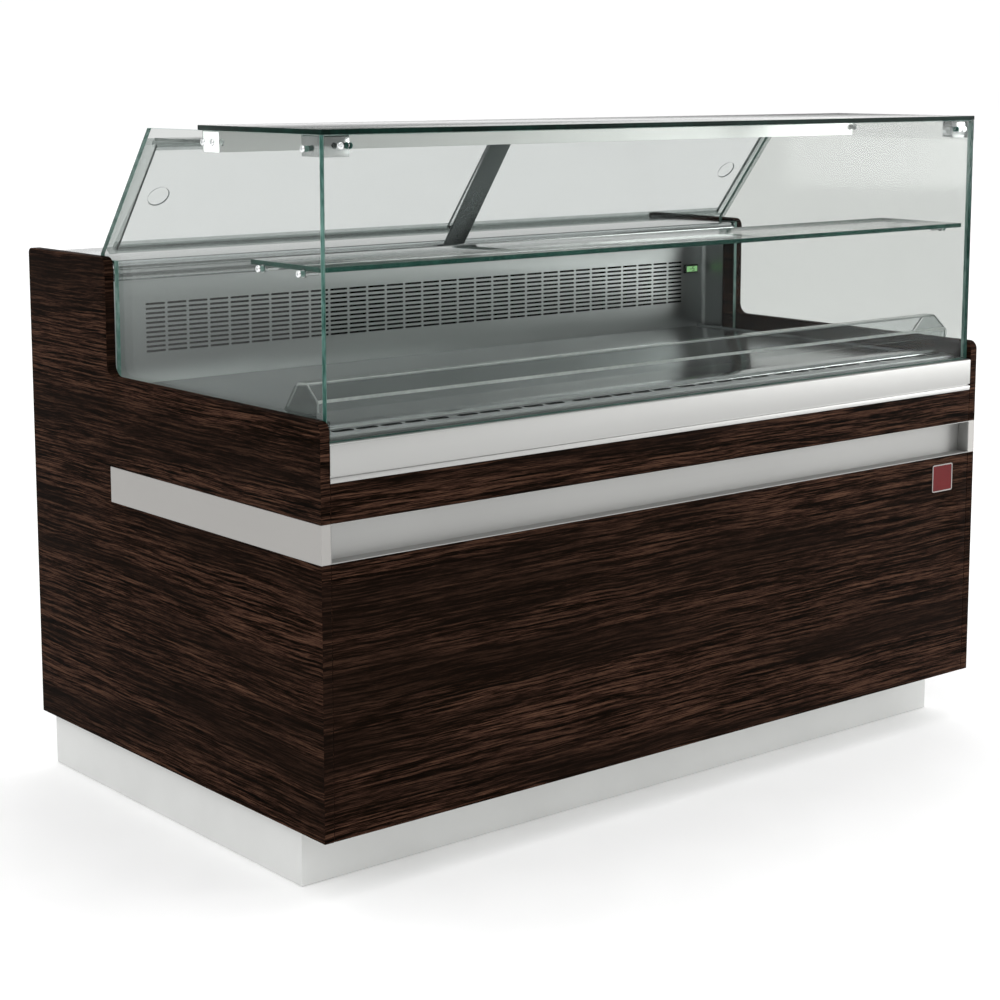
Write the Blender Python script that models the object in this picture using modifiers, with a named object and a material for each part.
"""Refrigerated serve-over display counter with a straight glass superstructure.

Frame: metres, +Z up, the customer side faces -Y, +X runs to the customer's right.
The origin is on the floor, under the middle of the counter's box.
Depths below are counted from the front face towards the back, and reaches from the left
side panel's outer face towards the right, because that is how a cabinet maker measures.
"""
import math

import bmesh
import bpy
from mathutils import Matrix, Vector

# ---------------------------------------------------------------- driving dimensions
LENGTH = 1.569            # over the side panels
DEPTH = 0.923             # front face to the back edge of the side panels
HEIGHT = 1.203            # top of the roof glass
PANEL = 0.018             # laminated board
PLINTH_HEIGHT = 0.100
PLINTH_FRONT_SETBACK = 0.090
PLINTH_SIDE_SETBACK = 0.017
BAND_LOW, BAND_HIGH = 0.543, 0.606      # satin metal band round the cabinet
RAIL_LOW, RAIL_HIGH = 0.668, 0.729      # extruded front rail
PANEL_LOW_TOP = 0.764     # side panel, front part
PANEL_HIGH_TOP = 0.971    # side panel, rear block
REAR_BLOCK_FRONT = 0.645  # depth at which the side panel steps up
GLASS = 0.008
ROOF_DEPTH = 0.360
SHELF_TOP = 0.995
DECK_TOP = 0.7285
WORKTOP = 0.962
BACK_WALL_DEPTH = 0.741
SLIDING_TOP = (0.522, 1.169)      # depth and height of the sloped closure's upper edge
SLIDING_FOOT = (0.679, 0.966)     # and of its lower edge
STORAGE_LOW, STORAGE_HIGH = 0.118, 0.480
DIVIDER = 1.100           # reach of the wall between storage and machine compartment
SHEET = 0.0015            # stainless sheet
ACRYLIC = 0.005
GAP = 0.0003              # between touching pieces
INSIDE = PANEL + GAP      # reach of the inner face of the side panels

parts = None
cutters = None


# ---------------------------------------------------------------- small helpers
def clear_scene():
    for obj in list(bpy.data.objects):
        bpy.data.objects.remove(obj, do_unlink=True)


def new_collection(name):
    group = bpy.data.collections.new(name)
    bpy.context.scene.collection.children.link(group)
    return group


def at(reach, depth, height):
    """A world point from reach, depth and height."""
    return Vector((reach - LENGTH / 2, depth - DEPTH / 2, height))


def finish_material(name, colour, roughness, metallic=0.0, alpha=1.0):
    material = bpy.data.materials.new(name)
    material.use_nodes = True
    shader = material.node_tree.nodes["Principled BSDF"]
    shader.inputs["Base Color"].default_value = (*colour, 1.0)
    shader.inputs["Roughness"].default_value = roughness
    shader.inputs["Metallic"].default_value = metallic
    shader.inputs["Alpha"].default_value = alpha
    material.diffuse_color = (*colour, alpha)
    return material


FINISHES = {
    "wenge": ((0.035, 0.018, 0.011), 0.45, 0.0, 1.0),
    "satin_metal": ((0.55, 0.55, 0.55), 0.35, 1.0, 1.0),
    "stainless": ((0.50, 0.51, 0.51), 0.25, 1.0, 1.0),
    "painted": ((0.55, 0.55, 0.55), 0.5, 0.0, 1.0),
    "glass": ((0.85, 0.95, 0.92), 0.02, 0.0, 0.25),
    "acrylic": ((0.85, 0.87, 0.87), 0.05, 0.0, 0.35),
    "white_plastic": ((0.85, 0.86, 0.85), 0.4, 0.0, 1.0),
    "dark_plastic": ((0.03, 0.03, 0.03), 0.4, 0.0, 1.0),
    "foam_board": ((0.75, 0.75, 0.72), 0.6, 0.0, 1.0),
    "rubber": ((0.02, 0.02, 0.02), 0.7, 0.0, 1.0),
    "copper": ((0.60, 0.27, 0.15), 0.3, 1.0, 1.0),
    "enamel_red": ((0.25, 0.01, 0.01), 0.3, 0.0, 1.0),
}


def dress(obj, finish):
    colour, roughness, metallic, alpha = FINISHES[finish]
    obj.data.materials.clear()
    obj.data.materials.append(finish_material(obj.name, colour, roughness, metallic, alpha))


def add_mesh(name, mesh, finish=None):
    obj = bpy.data.objects.new(name, mesh)
    if finish is None:
        cutters.objects.link(obj)
        obj.hide_render = True
        obj.display_type = "WIRE"
    else:
        parts.objects.link(obj)
        dress(obj, finish)
    return obj


def bevel(obj, width, segments=1):
    edge = obj.modifiers.new("bevel", "BEVEL")
    edge.width = width
    edge.segments = segments
    edge.limit_method = "ANGLE"
    edge.angle_limit = math.radians(40)
    return obj


def box(name, low, high, finish=None):
    """A box from two corners given as (reach, depth, height)."""
    low, high = at(*low), at(*high)
    size = high - low
    shape = bmesh.new()
    bmesh.ops.create_cube(shape, size=1.0)
    bmesh.ops.scale(shape, vec=size, verts=shape.verts)
    mesh = bpy.data.meshes.new(name)
    shape.to_mesh(mesh)
    shape.free()
    obj = add_mesh(name, mesh, finish)
    obj.location = (low + high) / 2
    return obj


def round_corners(points, closed=True, steps=5):
    """Turns (u, v, radius) corners into an outline whose corners are arcs."""
    outline = []
    count = len(points)
    for index, point in enumerate(points):
        corner = Vector(point[:2])
        radius = point[2] if len(point) > 2 else 0.0
        if radius == 0.0 or (not closed and index in (0, count - 1)):
            outline.append(tuple(corner))
            continue
        before = (Vector(points[index - 1][:2]) - corner).normalized()
        after = (Vector(points[(index + 1) % count][:2]) - corner).normalized()
        half_angle = before.angle(after) / 2
        reach = radius / math.tan(half_angle)
        centre = corner + (before + after).normalized() * (radius / math.sin(half_angle))
        start = corner + before * reach - centre
        end = corner + after * reach - centre
        sweep = start.angle_signed(end)
        for step in range(steps + 1):
            turned = start.copy()
            turned.rotate(Matrix.Rotation(-sweep * step / steps, 2))
            outline.append(tuple(centre + turned))
    return outline


def orientation(plane):
    """Turns a flat curve's own axes into the named plane; its extrusion follows the third axis."""
    columns = {
        "YZ": ((0, 1, 0), (0, 0, 1), (1, 0, 0)),
        "XZ": ((1, 0, 0), (0, 0, 1), (0, -1, 0)),
        "XY": ((1, 0, 0), (0, 1, 0), (0, 0, 1)),
    }[plane]
    return Matrix(columns).transposed()


def flat_piece(name, outlines, plane, middle, thickness, finish=None):
    """A flat outline, with any further outlines as holes, given thickness about its middle plane."""
    curve = bpy.data.curves.new(name, "CURVE")
    curve.dimensions = "2D"
    curve.fill_mode = "BOTH"
    curve.extrude = thickness / 2
    for outline in outlines:
        spline = curve.splines.new("POLY")
        spline.points.add(len(outline) - 1)
        for point, place in zip(spline.points, outline):
            point.co = (place[0], place[1], 0.0, 1.0)
        spline.use_cyclic_u = True
    flat = bpy.data.objects.new(name + "_outline", curve)
    bpy.context.scene.collection.objects.link(flat)
    bpy.context.view_layer.update()
    mesh = bpy.data.meshes.new_from_object(flat.evaluated_get(bpy.context.evaluated_depsgraph_get()))
    bpy.data.objects.remove(flat, do_unlink=True)
    shape = bmesh.new()
    shape.from_mesh(mesh)
    bmesh.ops.remove_doubles(shape, verts=shape.verts, dist=0.00001)
    bmesh.ops.recalc_face_normals(shape, faces=shape.faces)
    bmesh.ops.rotate(shape, matrix=orientation(plane), verts=shape.verts)
    shape.to_mesh(mesh)
    shape.free()
    mesh.name = name
    obj = add_mesh(name, mesh, finish)
    obj.location = middle
    return obj


def profile_bar(name, corners, left, right, finish=None):
    """A bar along the counter: corners are (depth, height, radius)."""
    outline = [(u - DEPTH / 2, v) for u, v in round_corners(corners)]
    middle = ((left + right) / 2 - LENGTH / 2, 0.0, 0.0)
    return flat_piece(name, [outline], "YZ", middle, right - left, finish)


def folded_sheet(name, path, left, right, thickness, finish=None):
    """Sheet metal or acrylic folded along a path of (depth, height, radius), grown to one side."""
    line = [at(0, u, v) for u, v in round_corners(path, closed=False)]
    shape = bmesh.new()
    rows = []
    for point in line:
        near = shape.verts.new((left - LENGTH / 2, point.y, point.z))
        far = shape.verts.new((right - LENGTH / 2, point.y, point.z))
        rows.append((near, far))
    for (a, b), (c, d) in zip(rows, rows[1:]):
        shape.faces.new((a, b, d, c))
    mesh = bpy.data.meshes.new(name)
    shape.to_mesh(mesh)
    shape.free()
    obj = add_mesh(name, mesh, finish)
    wall = obj.modifiers.new("wall", "SOLIDIFY")
    wall.thickness = thickness
    wall.offset = -1.0
    wall.use_even_offset = True
    return obj


def turned(name, profile, place, axis, finish=None, steps=24):
    """A turned piece: profile is (radius, position along the axis), from top to bottom."""
    shape = bmesh.new()
    points = [shape.verts.new((radius, 0.0, along)) for radius, along in profile]
    for first, second in zip(points, points[1:]):
        shape.edges.new((first, second))
    mesh = bpy.data.meshes.new(name)
    shape.to_mesh(mesh)
    shape.free()
    obj = add_mesh(name, mesh, finish)
    lathe = obj.modifiers.new("lathe", "SCREW")
    lathe.steps = steps
    lathe.render_steps = steps
    lathe.use_merge_vertices = True
    lathe.merge_threshold = 0.00005
    obj.location = place
    obj.rotation_mode = "QUATERNION"
    obj.rotation_quaternion = Vector(axis).to_track_quat("Z", "Y")
    return obj


def rod(radius, low, high):
    """Profile of a plain rod for turned(): closed at both ends."""
    return [(0.0, high), (radius, high), (radius, low), (0.0, low)]


def combine(obj, other, operation):
    """Cuts or joins another shape, live, with the exact solver."""
    change = obj.modifiers.new(operation.lower(), "BOOLEAN")
    change.operation = operation
    change.object = other
    change.solver = "EXACT"
    return obj


def settled(obj):
    """Applies an object's modifiers, so that it can take part in a later one."""
    bpy.context.view_layer.update()
    mesh = bpy.data.meshes.new_from_object(obj.evaluated_get(bpy.context.evaluated_depsgraph_get()))
    obj.modifiers.clear()
    obj.data = mesh
    return obj


def mirrored(reach):
    return LENGTH - reach


# ---------------------------------------------------------------- base
def make_base():
    box("base_floor", (INSIDE, 0.030, PLINTH_HEIGHT), (mirrored(INSIDE), 0.906, STORAGE_LOW), "foam_board")
    side, front, back = PLINTH_SIDE_SETBACK, PLINTH_FRONT_SETBACK, 0.905
    wall = 0.002
    outer = [at(side, front, 0), at(mirrored(side), front, 0), at(mirrored(side), back, 0), at(side, back, 0)]
    inner = [at(side + wall, front + wall, 0), at(mirrored(side + wall), front + wall, 0)]
    inner += [at(mirrored(side + wall), back - wall, 0), at(side + wall, back - wall, 0)]
    clear = 0.001
    height = PLINTH_HEIGHT - GAP - clear
    outlines = [[p[:2] for p in outer], [p[:2] for p in inner]]
    flat_piece("plinth", outlines, "XY", (0, 0, clear + height / 2), height, "satin_metal")
    foot_profile = [(0.0, PLINTH_HEIGHT - GAP), (0.008, PLINTH_HEIGHT - GAP), (0.008, 0.016),
                    (0.020, 0.012), (0.025, 0.004), (0.025, 0.0), (0.0, 0.0)]
    for reach, across in ((0.110, "left"), (mirrored(0.110), "right")):
        for depth, along in ((0.170, "front"), (0.830, "rear")):
            turned(f"foot_{along}_{across}", foot_profile, at(reach, depth, 0), (0, 0, 1), "rubber", 16)


# ---------------------------------------------------------------- cabinet skins
def side_outline():
    corners = [
        (0.0, PLINTH_HEIGHT, 0.0), (DEPTH, PLINTH_HEIGHT, 0.0), (DEPTH, PANEL_HIGH_TOP, 0.010),
        (REAR_BLOCK_FRONT, PANEL_HIGH_TOP, 0.016), (REAR_BLOCK_FRONT, PANEL_LOW_TOP, 0.022),
        (0.0, PANEL_LOW_TOP, 0.016),
    ]
    return [(u - DEPTH / 2, v) for u, v in round_corners(corners)]


def make_sides():
    band_back = 0.642
    band_deep = 0.003
    for name, outer in (("left", 0.0), ("right", LENGTH)):
        inward = 1 if outer == 0.0 else -1
        middle = (outer + inward * PANEL / 2) - LENGTH / 2
        panel = flat_piece(f"side_panel_{name}", [side_outline()], "YZ", (middle, 0, 0), PANEL, "wenge")
        groove = band_deep + GAP
        path = [(outer - inward * 0.01, -0.01), (outer + inward * (PANEL + 0.01), -0.01),
                (outer + inward * (PANEL + 0.01), groove), (outer + inward * groove, groove),
                (outer + inward * groove, band_back + GAP), (outer - inward * 0.01, band_back + GAP)]
        cutter = band_piece(f"band_groove_{name}", path, BAND_LOW - GAP, BAND_HIGH + GAP)
        combine(panel, cutter, "DIFFERENCE")
        band = [(outer, 0.0), (outer + inward * PANEL, 0.0), (outer + inward * PANEL, band_deep),
                (outer + inward * band_deep, band_deep), (outer + inward * band_deep, band_back),
                (outer, band_back)]
        band_piece(f"side_band_{name}", band, BAND_LOW, BAND_HIGH, "satin_metal")


def band_piece(name, path, low, high, finish=None):
    outline = [tuple(at(reach, depth, 0)[:2]) for reach, depth in path]
    return flat_piece(name, [outline], "XY", (0, 0, (low + high) / 2), high - low, finish)


def make_front():
    left, right = INSIDE, mirrored(INSIDE)
    board = 0.016
    bevel(box("front_panel", (left, 0, PLINTH_HEIGHT), (right, board, BAND_LOW - GAP), "wenge"), 0.0008)
    bevel(box("front_fascia", (left, 0, BAND_HIGH + GAP), (right, board, RAIL_LOW - GAP), "wenge"), 0.0008)
    wall = 0.0015
    back = 0.026
    channel = [(0.0, BAND_LOW), (back, BAND_LOW), (back, BAND_HIGH), (0.0, BAND_HIGH),
               (0.0, BAND_HIGH - wall), (back - wall, BAND_HIGH - wall), (back - wall, BAND_LOW + wall),
               (0.0, BAND_LOW + wall)]
    profile_bar("front_channel", channel, left, right, "satin_metal")
    lip, groove = 0.6765, 0.6800
    web = 0.006
    rail = [(0.0, RAIL_LOW, 0.001), (web, RAIL_LOW), (web, RAIL_HIGH - 0.004), (0.030, RAIL_HIGH - 0.004),
            (0.030, RAIL_HIGH), (0.0, RAIL_HIGH, 0.003), (0.0, groove), (0.003, groove), (0.003, lip),
            (0.0, lip)]
    profile_bar("front_rail", rail, left, right, "satin_metal")
    badge_left, badge_low = 1.445, 0.474
    badge_wide, badge_tall, badge_thick = 0.060, 0.054, 0.0015
    corner = 0.004
    corners = [(badge_left, badge_low, corner), (badge_left + badge_wide, badge_low, corner),
               (badge_left + badge_wide, badge_low + badge_tall, corner),
               (badge_left, badge_low + badge_tall, corner)]
    outline = [(u - LENGTH / 2, v) for u, v in round_corners(corners, steps=3)]
    recess = box("badge_recess", (badge_left - 0.001, -0.01, badge_low - 0.001),
                 (badge_left + badge_wide + 0.001, badge_thick + GAP, badge_low + badge_tall + 0.001))
    combine(bpy.data.objects["front_panel"], recess, "DIFFERENCE")
    flat_piece("badge", [outline], "XZ", (0, -DEPTH / 2 + badge_thick / 2, 0), badge_thick, "enamel_red")


# ---------------------------------------------------------------- insulated body and interior sheets
def make_body():
    left, right = INSIDE, mirrored(INSIDE)
    tub_front, tub_back = 0.0265, 0.8965
    wall, floor_top = 0.020, 0.510
    tub = [(tub_front, STORAGE_HIGH), (tub_back, STORAGE_HIGH), (tub_back, 0.925), (tub_back - wall, 0.925),
           (tub_back - wall, floor_top, 0.012), (tub_front + wall, floor_top, 0.012),
           (tub_front + wall, 0.700), (tub_front, 0.700)]
    profile_bar("insulated_tub", tub, left, right, "foam_board")
    box("storage_divider", (DIVIDER, 0.030, STORAGE_LOW + GAP),
        (DIVIDER + 0.020, DOOR_FACE, STORAGE_HIGH - GAP),
        "foam_board")
    box("rear_fascia", (left, 0.8968, STORAGE_HIGH), (right, 0.8983, 0.925), "stainless")
    worktop = [(0.918, 0.932), (0.918, WORKTOP, 0.002), (0.645, WORKTOP, 0.011), (0.645, 0.949),
               (0.652, 0.949), (0.652, 0.939), (0.645, 0.939), (0.645, 0.930, 0.001), (0.738, 0.930)]
    folded_sheet("worktop", worktop, left, right, SHEET, "stainless")
    make_back_wall(left, right)
    make_deck()
    intake = [(0.0605, 0.716), (0.0605, 0.7365, 0.001), (0.0305, 0.7345, 0.001), (0.0305, 0.7295)]
    folded_sheet("intake_strip", intake, 0.034, mirrored(0.034), 0.0012, "stainless")


def make_back_wall(left, right):
    """The back wall is one sheet with a return flange at each end."""
    flange = 0.060
    face, low, high = BACK_WALL_DEPTH, DECK_TOP + 0.001, 0.9285
    clear = 0.0015
    path = [(left + clear, face - flange), (right - clear, face - flange), (right - clear, face),
            (left + clear, face)]
    outline = [path[0], (path[0][0] + SHEET, path[0][1]), (path[0][0] + SHEET, face - SHEET, 0.010),
               (path[1][0] - SHEET, face - SHEET, 0.010), (path[1][0] - SHEET, path[1][1]), path[1],
               (path[2][0], path[2][1], 0.0115), (path[3][0], path[3][1], 0.0115)]
    rounded = round_corners(outline, steps=4)
    points = [tuple(at(reach, depth, 0)[:2]) for reach, depth in rounded]
    flat_piece("back_wall", [points], "XY", (0, 0, (low + high) / 2), high - low, "stainless")


def make_deck():
    """The display deck: a folded sheet with a raised front roll and a rim at each end."""
    left, right = 0.040, mirrored(0.040)
    path = [(0.738, DECK_TOP), (0.110, DECK_TOP), (0.107, 0.7415, 0.003), (0.0665, 0.7415, 0.005),
            (0.0665, 0.722)]
    deck = settled(folded_sheet("display_deck", path, left, right, SHEET, "stainless"))
    rim, height = 0.006, 0.006
    for name, start in (("left", left - rim / 2), ("right", right - rim / 2)):
        bar = box(f"deck_rim_{name}", (start, 0.109, DECK_TOP - 0.001),
                  (start + rim, 0.7375, DECK_TOP + height))
        combine(deck, bar, "UNION")


# ---------------------------------------------------------------- glass superstructure
def make_glass():
    front, inner = 0.010, 0.010 + GLASS
    roof_low = HEIGHT - GLASS
    glass_top = roof_low - GAP
    side = INSIDE
    bevel(box("roof_glass", (0.017, front, roof_low), (mirrored(0.017), ROOF_DEPTH, HEIGHT), "glass"), 0.0007)
    box("front_glass", (side, front, RAIL_HIGH + GAP), (mirrored(side), inner, glass_top), "glass")
    foot_depth, foot_height = SLIDING_FOOT[0] + 0.010, 0.974
    corners = [(inner + GAP, 0.731), (0.6425, 0.731), (0.6425, WORKTOP + 0.002),
               (foot_depth, WORKTOP + 0.002),
               (foot_depth, foot_height), (0.520, glass_top), (inner + GAP, glass_top)]
    outline = [(u - DEPTH / 2, v) for u, v in corners]
    for name, low in (("left", side), ("right", mirrored(side + GLASS))):
        middle = low + GLASS / 2 - LENGTH / 2
        pane = flat_piece(f"side_glass_{name}", [outline], "YZ", (middle, 0, 0), GLASS, "glass")
        inward = 1 if name == "left" else -1
        outer = low if name == "left" else low + GLASS
        drill_and_fit(pane, name, outer, inward)
    shelf_side = side + GLASS + 0.001
    low, high = SHELF_TOP - GLASS, SHELF_TOP
    bevel(box("shelf_glass", (shelf_side, 0.026, low), (mirrored(shelf_side), 0.226, high), "glass"), 0.0007)


def drill_and_fit(pane, name, outer, inward):
    """Holes through a side pane, the rest that carries the shelf, and the corner bracket."""
    hole = 0.0045
    shaft, cap, cap_thick = 0.004, 0.006, 0.003
    pin_height = SHELF_TOP - GLASS - shaft - GAP
    bolts = [(0.077, pin_height), (0.189, pin_height), (0.062, 1.173)]
    for index, (depth, height) in enumerate(bolts):
        place = at(outer, depth, height)
        bore = turned(f"bore_{name}_{index}", rod(hole, -0.02, 0.02), place, (1, 0, 0), None, 16)
        combine(pane, bore, "DIFFERENCE")
    pane_in = outer + inward * (GLASS + GAP)
    bar_in = pane_in + inward * 0.0015
    shelf_bar = box(f"shelf_rest_{name}", sorted_low(pane_in, bar_in, 0.070, pin_height - 0.004),
                    sorted_high(pane_in, bar_in, 0.196, pin_height + 0.004), "satin_metal")
    pin = [(0.0, -GAP - cap_thick), (cap, -GAP - cap_thick), (cap, -GAP), (shaft, -GAP), (shaft, 0.028),
           (0.0, 0.028)]
    pin = list(reversed(pin))
    for depth in (0.077, 0.189):
        bolt = turned(f"pin_{name}_{depth}", pin, at(outer, depth, pin_height), (inward, 0, 0), None, 16)
        combine(shelf_bar, bolt, "UNION")
    bracket(name, outer, inward, pane_in, pin)


def sorted_low(a, b, depth, height):
    return (min(a, b), depth, height)


def sorted_high(a, b, depth, height):
    return (max(a, b), depth, height)


def bracket(name, outer, inward, pane_in, pin):
    """An angle plate inside the top front corner, bolted through the side pane and the front pane."""
    front_in = 0.010 + GLASS + GAP
    wall, leg_side, leg_front = 0.003, 0.078, 0.073
    low, high = 1.161, 1.1935
    far = outer + inward * (leg_front - INSIDE)
    path = [(pane_in, front_in), (far, front_in), (far, front_in + wall),
            (pane_in + inward * wall, front_in + wall), (pane_in + inward * wall, leg_side),
             (pane_in, leg_side)]
    plate = band_piece(f"corner_bracket_{name}", path, low, high, "satin_metal")
    bolt_height = 1.173
    short = [(radius, min(along, GLASS + 0.001)) for radius, along in pin]
    first = turned(f"bolt_side_{name}", short, at(outer, 0.062, bolt_height), (inward, 0, 0), None, 16)
    combine(plate, first, "UNION")
    reach = outer + inward * 0.050
    second = turned(f"bolt_front_{name}", short, at(reach, 0.010, 1.178), (0, 1, 0), None, 16)
    combine(plate, second, "UNION")
    bore = turned(f"bore_front_{name}", rod(0.0045, -0.02, 0.02), at(reach, 0.010, 1.178), (0, 1, 0),
                  None, 16)
    combine(bpy.data.objects["front_glass"], bore, "DIFFERENCE")


def make_lamp():
    left, right = 0.028, mirrored(0.028)
    low, high = 1.160, 1.1945
    front, back = 0.311, 0.3625
    wall = 0.002
    profile = [(front, low), (front + wall, low), (front + wall, high - wall), (back - wall, high - wall),
               (back - wall, low), (back, low), (back, high), (front, high)]
    profile_bar("lamp_profile", profile, left, right, "satin_metal")
    clear = wall + GAP
    diffuser = [(front + clear, low, 0.001), (back - clear, low, 0.001), (back - clear, low + 0.014, 0.004),
                (front + clear, low + 0.014, 0.004)]
    profile_bar("lamp_diffuser", diffuser, left + 0.002, right - 0.002, "white_plastic")


# ---------------------------------------------------------------- rear closure with sliding panes
def slope_point(along, away):
    """A (depth, height) point from the foot of the closure: up the slope, and away from the display."""
    foot, top = Vector(SLIDING_FOOT), Vector(SLIDING_TOP)
    up = (top - foot).normalized()
    out = Vector((up.y, -up.x))
    point = foot + up * along + out * away
    return (point.x, point.y)


def slope_length():
    return (Vector(SLIDING_TOP) - Vector(SLIDING_FOOT)).length


SLOT = ACRYLIC + 0.0016        # width of one groove in the tracks
RIB = 0.0014                   # wall between and beside the grooves
TRACK_WIDE = 2 * SLOT + 3 * RIB
TRACK_DEEP = 0.012
TRACK_BASE = 0.003
INNER_GRIP = 0.002             # a finger cup stands out so little that the panes still cross
FINGER_RADIUS = 0.020
FINGER_INSET = 0.045           # from the pane's end to the cup's centre


def track_outline(foot_along, direction):
    """An E-shaped track with two grooves, opening along the slope."""
    base = foot_along
    floor = foot_along + direction * TRACK_BASE
    rim = foot_along + direction * TRACK_DEEP
    first, second = RIB, RIB + SLOT
    third, fourth = second + RIB, second + RIB + SLOT
    corners = [(base, 0.0), (base, TRACK_WIDE), (rim, TRACK_WIDE), (rim, fourth), (floor, fourth),
               (floor, third), (rim, third), (rim, second), (floor, second), (floor, first), (rim, first),
               (rim, 0.0)]
    return [slope_point(along, away) for along, away in corners]


def make_closure():
    frame_left, frame_right = INSIDE + GLASS + GAP, mirrored(INSIDE + GLASS + GAP)
    strip = 0.014
    length = slope_length()
    low_end, high_end = 0.010, length - 0.004
    lap = 0.0005
    rails = (frame_left + lap, frame_right - lap)
    frame = profile_bar("closure_frame", track_outline(low_end, 1), *rails, "satin_metal")
    upper = profile_bar("upper_track", track_outline(high_end, -1), *rails)
    combine(frame, upper, "UNION")
    upright = [slope_point(low_end - lap, -lap), slope_point(low_end - lap, TRACK_WIDE + lap),
               slope_point(high_end + lap, TRACK_WIDE + lap), slope_point(high_end + lap, -lap)]
    for name, start in (("left", frame_left), ("right", frame_right - strip)):
        side = profile_bar(f"upright_{name}", upright, start, start + strip)
        combine(frame, side, "UNION")
    clear = 0.001
    pane_low, pane_high = low_end + TRACK_BASE + clear, high_end - TRACK_BASE - clear
    middle, overlap = LENGTH / 2, 0.006
    opening_left, opening_right = frame_left + strip + clear, frame_right - strip - clear
    inner = RIB + 0.0008
    outer = RIB + SLOT + RIB + 0.0008
    sliding_pane("sliding_pane_left", opening_left, middle + overlap, inner, pane_low, pane_high, 0)
    sliding_pane("sliding_pane_right", middle - overlap, opening_right, outer, pane_low, pane_high, 1)
    lamp_back = 0.3625 + GAP
    bevel(box("top_closure", (frame_left, lamp_back, 1.1735),
              (frame_right, 0.512, 1.1735 + ACRYLIC), "acrylic"),
          0.0005)
    make_mid_support()


def sliding_pane(name, left, right, away, low, high, grip_at_right):
    corners = [slope_point(low, away), slope_point(low, away + ACRYLIC), slope_point(high, away + ACRYLIC),
               slope_point(high, away)]
    pane = profile_bar(name, corners, left, right, "acrylic")
    start = right - FINGER_INSET if grip_at_right else left + FINGER_INSET
    depth, height = slope_point((low + high) / 2, away + ACRYLIC - 0.001)
    ahead = Vector(slope_point(low, away + 1.0)) - Vector(slope_point(low, away))
    handle = turned(f"{name}_cup", rod(FINGER_RADIUS, 0.0, INNER_GRIP + 0.001), at(start, depth, height),
                    (0, ahead.x, ahead.y), None, 32)
    return combine(pane, handle, "UNION")


def make_mid_support():
    """A flat bar that leans from the worktop's nose up to the top closure."""
    wide, thick = 0.050, 0.005
    foot, top = Vector((0.634, 0.955)), Vector((0.480, 1.168))
    up = (top - foot).normalized()
    out = Vector((up.y, -up.x)) * thick
    corners = [tuple(foot), tuple(foot + out), tuple(top + out), tuple(top)]
    middle = 0.760
    bar = profile_bar("mid_support", corners, middle - wide / 2, middle + wide / 2, "satin_metal")
    bevel(bar, 0.0008)


# ---------------------------------------------------------------- air deflector and its holders
def make_deflector():
    left, right = 0.0345, mirrored(0.0345)
    path = [(0.136, 0.769), (0.106, 0.808, 0.004), (0.083, 0.809, 0.004),
            (0.055, 0.785, 0.004), (0.055, 0.770)]
    folded_sheet("deflector", path, left, right, 0.003, "acrylic")
    ends = [(0.136, 0.766), (0.106, 0.807), (0.083, 0.808), (0.055, 0.784), (0.055, 0.761), (0.019, 0.761),
            (0.019, 0.7315), (0.082, 0.7315), (0.082, 0.761), (0.125, 0.761)]
    outline = [(u - DEPTH / 2, v) for u, v in ends]
    thick = 0.006
    for name, low in (("left", INSIDE + GLASS + GAP), ("right", mirrored(INSIDE + GLASS + GAP) - thick)):
        middle = (low + thick / 2 - LENGTH / 2, 0, 0)
        flat_piece(f"deflector_holder_{name}", [outline], "YZ", middle, thick, "acrylic")


# ---------------------------------------------------------------- refrigeration
def comb(name, low, high, fins, finish):
    """A finned block: thin fins standing on a tube-sheet core."""
    left, right = low[0], high[0]
    pitch = (right - left) / fins
    core = (low[2] + high[2]) / 2 - 0.010
    outline = []
    for index in range(fins):
        start = left + index * pitch
        outline += [(start, high[2]), (start + pitch * 0.5, high[2]), (start + pitch * 0.5, core)]
        outline += [(start + pitch, core)]
    outline += [(right, low[2]), (left, low[2])]
    outline = [(reach - LENGTH / 2, height) for reach, height in outline]
    middle = (0, (low[1] + high[1]) / 2 - DEPTH / 2, 0)
    return flat_piece(name, [outline], "XZ", middle, high[1] - low[1], finish)


def fan(name, place, radius, blades, hub, thick, finish):
    """Fan wheel with its axis along the depth: the outline swells into one lobe a blade."""
    outline = []
    steps = blades * 12
    for step in range(steps):
        angle = 2 * math.pi * step / steps
        lobe = max(0.0, math.sin(angle * blades)) ** 0.5
        reach = hub + (radius - hub) * lobe
        outline.append((math.cos(angle) * reach, math.sin(angle) * reach))
    return flat_piece(name, [outline], "XZ", place, thick, finish)


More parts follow.
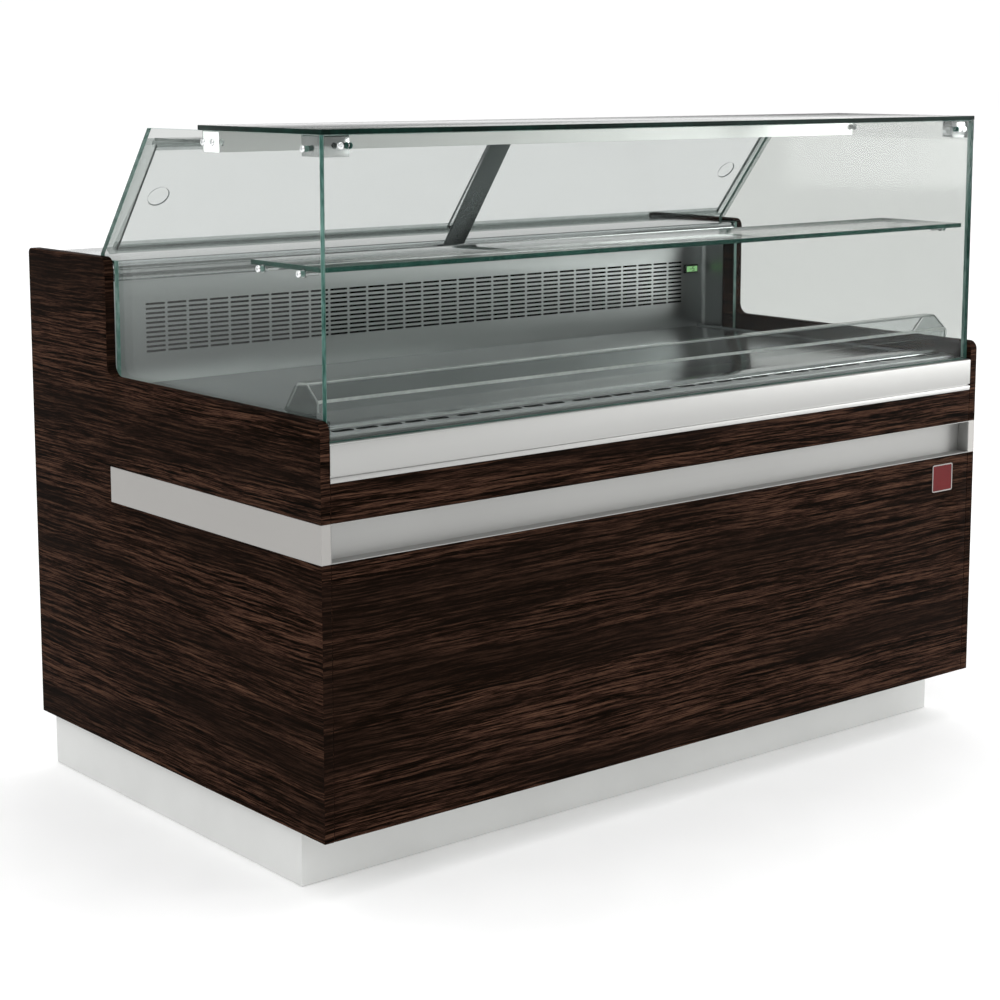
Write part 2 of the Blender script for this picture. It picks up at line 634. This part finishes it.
def make_refrigeration():
    comb("evaporator", (0.300, 0.420, 0.5105), (1.270, 0.620, 0.660), 24, "satin_metal")
    fan("evaporator_fan", at(0.785, 0.300, 0.615), 0.075, 5, 0.022, 0.014, "dark_plastic")
    comb("condenser", (1.180, 0.780, STORAGE_LOW + GAP), (1.500, 0.850, 0.440), 16, "satin_metal")
    fan("condenser_fan", at(1.340, 0.735, 0.290), 0.110, 5, 0.030, 0.018, "dark_plastic")
    floor = STORAGE_LOW + GAP
    dome = [(0.0, 0.235), (0.045, 0.228), (0.075, 0.205), (0.088, 0.165), (0.090, 0.060), (0.080, 0.030),
            (0.080, 0.0), (0.0, 0.0)]
    turned("compressor", dome, at(1.330, 0.420, floor), (0, 0, 1), "painted")
    route = [at(1.330, 0.420, floor + 0.236), at(1.330, 0.420, 0.400), at(1.345, 0.450, 0.425),
             at(1.400, 0.560, 0.430), at(1.470, 0.700, 0.430), at(1.480, 0.7795, 0.425)]
    curve = bpy.data.curves.new("discharge_line", "CURVE")
    curve.dimensions = "3D"
    curve.bevel_depth = 0.005
    curve.bevel_resolution = 2
    curve.use_fill_caps = True
    spline = curve.splines.new("POLY")
    spline.points.add(len(route) - 1)
    for point, place in zip(spline.points, route):
        point.co = (*place, 1.0)
    pipe = bpy.data.objects.new("discharge_line", curve)
    parts.objects.link(pipe)
    dress(pipe, "copper")


# ---------------------------------------------------------------- rear: doors, grille, controls
DOOR_FACE = 0.902
DOOR_THICK = 0.035
DOOR_LOW, DOOR_HIGH = STORAGE_LOW + 0.004, STORAGE_HIGH - 0.004
DOOR_LEFT, DOOR_RIGHT = 0.024, 1.094
PIN_IN = 0.016                 # from the door's edge to its hinge pin
PIN_DEPTH = DOOR_FACE - 0.008


def make_door(name, left, right, pin_reach, grip_reach):
    door = box(f"door_{name}", (left, DOOR_FACE - DOOR_THICK, DOOR_LOW),
               (right, DOOR_FACE, DOOR_HIGH), "stainless")
    bevel(door, 0.0012)
    pin = at(pin_reach, PIN_DEPTH, 0)
    bore = turned(f"door_bore_{name}", rod(0.0034, 0.05, 0.55), pin, (0, 0, 1), None, 16)
    combine(door, bore, "DIFFERENCE")
    turned(f"hinge_pin_{name}", rod(0.003, STORAGE_LOW + GAP, STORAGE_HIGH - GAP), pin, (0, 0, 1),
           "satin_metal", 16)
    grip_low, grip_high = 0.200, 0.400
    handle = box(f"handle_{name}", (grip_reach - 0.010, DOOR_FACE + GAP, grip_low),
                 (grip_reach + 0.010, 0.920, grip_high), "dark_plastic")
    bevel(handle, 0.004, 3)


def make_rear():
    middle, half_gap = (DOOR_LEFT + DOOR_RIGHT) / 2, 0.0015
    make_door("left", DOOR_LEFT, middle - half_gap, DOOR_LEFT + PIN_IN, middle - 0.030)
    make_door("right", middle + half_gap, DOOR_RIGHT, DOOR_RIGHT - PIN_IN, middle + 0.030)
    make_grille()
    make_controls()
    screen = bevel(box("temperature_display", (1.486, 0.7335, 0.848), (1.525, 0.7392, 0.867),
                       "dark_plastic"), 0.001)
    screen.location.y -= GAP


def rectangle(left, low, right, high):
    return [(left - LENGTH / 2, low), (right - LENGTH / 2, low), (right - LENGTH / 2, high),
            (left - LENGTH / 2, high)]


def make_grille():
    """The machine compartment's vented cover."""
    left, right = 1.124, mirrored(INSIDE + 0.003)
    low, high = STORAGE_LOW + 0.002, STORAGE_HIGH - 0.002
    outlines = [rectangle(left, low, right, high)]
    slots, tall, margin = 10, 0.010, 0.040
    pitch = (high - low - 2 * margin) / slots
    for index in range(slots):
        start = low + margin + index * pitch + (pitch - tall) / 2
        outlines.append(rectangle(left + margin, start, right - margin, start + tall))
    thick = 0.002
    middle = (0, 0.900 - DEPTH / 2, 0)
    flat_piece("machine_grille", outlines, "XZ", middle, thick, "stainless")
    gland = [(0.0, 0.016), (0.0045, 0.016), (0.008, 0.014), (0.011, 0.006), (0.014, 0.006),
             (0.014, 0.0), (0.0, 0.0)]
    turned("mains_inlet", gland, at(1.510, 0.901 + GAP, 0.140), (0, 1, 0), "dark_plastic", 20)


def make_controls():
    face = 0.8983 + GAP
    depth = 0.008
    left, right = 1.300, 1.460
    low, high = 0.700, 0.750
    switch = (1.425, 0.725)
    switch_wide, switch_tall = 0.022, 0.030
    buttons = {"button_up": (1.377, 0.735), "button_down": (1.377, 0.715)}
    button_wide, button_tall, clear = 0.012, 0.008, 0.0005
    outlines = [rectangle(left, low, right, high)]
    spots = [(place, button_wide, button_tall) for place in buttons.values()]
    spots.append((switch, switch_wide, switch_tall))
    for (reach, height), wide, tall in spots:
        outlines.append(rectangle(reach - wide / 2 - clear, height - tall / 2 - clear,
                                  reach + wide / 2 + clear, height + tall / 2 + clear))
    middle = (0, face + depth / 2 - DEPTH / 2, 0)
    flat_piece("control_panel", outlines, "XZ", middle, depth, "dark_plastic")
    for name, (reach, height) in buttons.items():
        key = box(name, (reach - button_wide / 2, face + 0.003, height - button_tall / 2),
                  (reach + button_wide / 2, face + depth + 0.0015, height + button_tall / 2), "white_plastic")
        bevel(key, 0.0006)
    pivot = face + 0.0055
    half_wide, half_tall = switch_wide / 2, switch_tall / 2 - 0.0004
    rocker = box("main_switch", (switch[0] - half_wide, pivot - 0.0022, switch[1] - half_tall),
                 (switch[0] + half_wide, pivot + 0.0032, switch[1] + half_tall), "white_plastic")
    rocker.data.transform(Matrix.Translation(rocker.location - at(switch[0], pivot, switch[1])))
    rocker.location = at(switch[0], pivot, switch[1])
    rocker.rotation_euler = (math.radians(6), 0, 0)
    bevel(rocker, 0.0008)


# ---------------------------------------------------------------- assembly
def main():
    global parts, cutters
    clear_scene()
    parts = new_collection("display_counter")
    cutters = new_collection("cutters")
    make_base()
    make_sides()
    make_front()
    make_body()
    make_glass()
    make_lamp()
    make_closure()
    make_deflector()
    make_refrigeration()
    make_rear()
    for obj in parts.objects:
        if obj.type == "MESH":
            obj.data.shade_smooth()
            obj.data.set_sharp_from_angle(angle=math.radians(35))


main()
